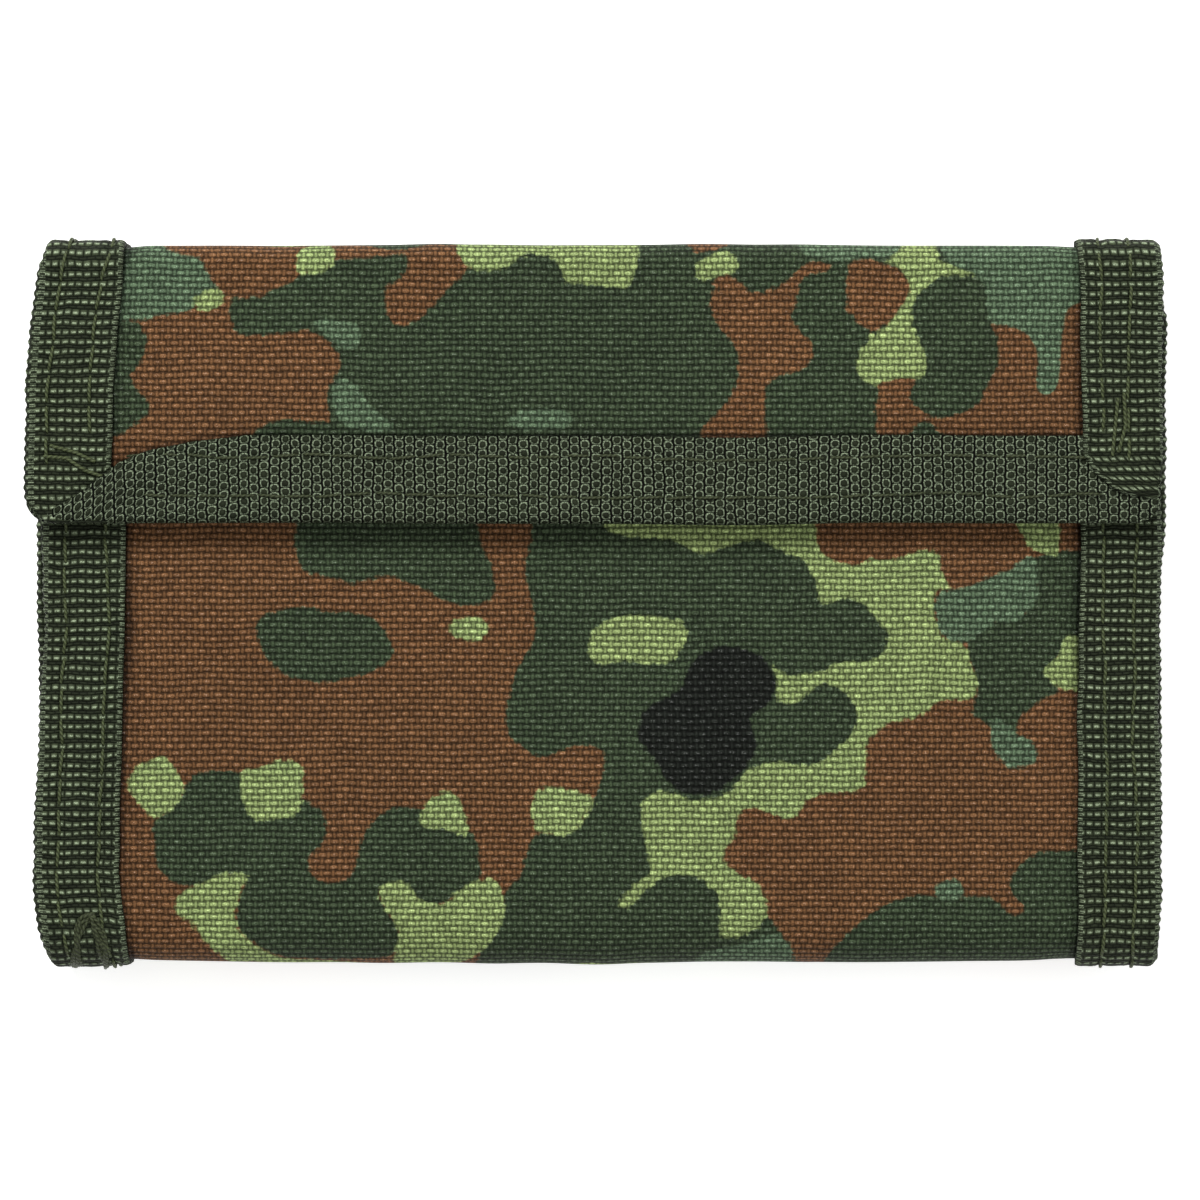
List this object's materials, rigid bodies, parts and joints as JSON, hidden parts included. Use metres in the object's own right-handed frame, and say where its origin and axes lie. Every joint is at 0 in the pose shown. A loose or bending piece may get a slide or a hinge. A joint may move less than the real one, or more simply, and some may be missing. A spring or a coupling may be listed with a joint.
{
  "type": "trifold wallet",
  "caption": "Fabric trifold wallet: bound side edges, short flap closing over a folded front panel, card pockets, clear window and zipped coin pocket.",
  "frame": {"origin": "middle of the closed wallet's footprint, on the plane its back rests on", "axes": "+X across the width, +Y towards the top fold, +Z out of the front of the closed wallet"},
  "size_m": [0.13, 0.083, 0.0168],
  "materials": {
    "printed_fabric": null,
    "binding_tape": "ribbed woven binding tape, dark olive",
    "lining_fabric": "thin plain-weave lining, near black",
    "window_film": "clear soft film",
    "hook_fabric": "moulded hooks on a woven ground",
    "loop_fabric": "brushed loop pile",
    "zipper_tape_fabric": "herringbone zipper tape",
    "zipper_coil_plastic": "moulded coil",
    "slider_metal": "semi-gloss black enamel",
    "stop_metal": "plain stamped steel"
  },
  "bodies": {
    "back": {"back_shell": "printed_fabric", "back_lining": "lining_fabric", "card_pocket_rear": "lining_fabric", "card_pocket_front": "lining_fabric", "id_window_frame": "lining_fabric", "id_window_film": "window_film", "card_pocket_bottom_hem": "lining_fabric", "back_tape_left": "binding_tape", "back_tape_right": "binding_tape"},
    "bottom_spine": {"bottom_spine_shell": "printed_fabric", "bottom_spine_lining": "lining_fabric", "bottom_spine_tape_left": "binding_tape", "bottom_spine_tape_right": "binding_tape"},
    "top_spine": {"top_spine_shell": "printed_fabric", "top_spine_lining": "lining_fabric", "top_spine_tape_left": "binding_tape", "top_spine_tape_right": "binding_tape"},
    "flap": {"flap_shell": "printed_fabric", "flap_lining": "lining_fabric", "flap_edge_tape": "binding_tape", "flap_tape_left": "binding_tape", "flap_tape_right": "binding_tape", "hook_strip": "hook_fabric"},
    "front": {"front_shell": "printed_fabric", "front_lining": "lining_fabric", "coin_pocket_face": "lining_fabric", "coin_pocket_bottom_hem": "lining_fabric", "front_edge_hem": "printed_fabric", "loop_strip": "loop_fabric", "front_tape_left": "binding_tape", "front_tape_right": "binding_tape", "zipper_tape_lower": "zipper_tape_fabric", "zipper_tape_upper": "zipper_tape_fabric", "zipper_coil_lower": "zipper_coil_plastic", "zipper_coil_upper": "zipper_coil_plastic", "zipper_stop_left": "stop_metal", "zipper_stop_right": "stop_metal"},
    "zipper_slider": {"slider_body": "slider_metal"},
    "zipper_pull": {"pull_tab": "slider_metal"}
  },
  "joints": [
    {"name": "bottom_spine_fold", "type": "hinge", "parent": "back", "child": "bottom_spine", "pos_m": [0, -0.0404, 0.0011], "axis": [1, 0, 0], "range_deg": [0, 90]},
    {"name": "front_fold", "type": "hinge", "parent": "bottom_spine", "child": "front", "pos_m": [0, -0.0404, 0.0127], "axis": [1, 0, 0], "range_deg": [0, 90]},
    {"name": "top_spine_fold", "type": "hinge", "parent": "back", "child": "top_spine", "pos_m": [0, 0.0404, 0.0011], "axis": [-1, 0, 0], "range_deg": [0, 90]},
    {"name": "flap_fold", "type": "hinge", "parent": "top_spine", "child": "flap", "pos_m": [0, 0.0404, 0.0157], "axis": [-1, 0, 0], "range_deg": [0, 90]},
    {"name": "zipper_slide", "type": "slide", "parent": "front", "child": "zipper_slider", "axis": [1, 0, 0], "range_m": [-0.081, 0]},
    {"name": "pull_hinge", "type": "hinge", "parent": "zipper_slider", "child": "zipper_pull", "pos_m": [0.0386, 0.03, 0.0064], "axis": [0, -1, 0], "range_deg": [0, 16]}
  ],
  "couplings": [
    {"joint": "bottom_spine_fold", "follows": "front_fold", "ratio": 1},
    {"joint": "top_spine_fold", "follows": "flap_fold", "ratio": 1}
  ]
}
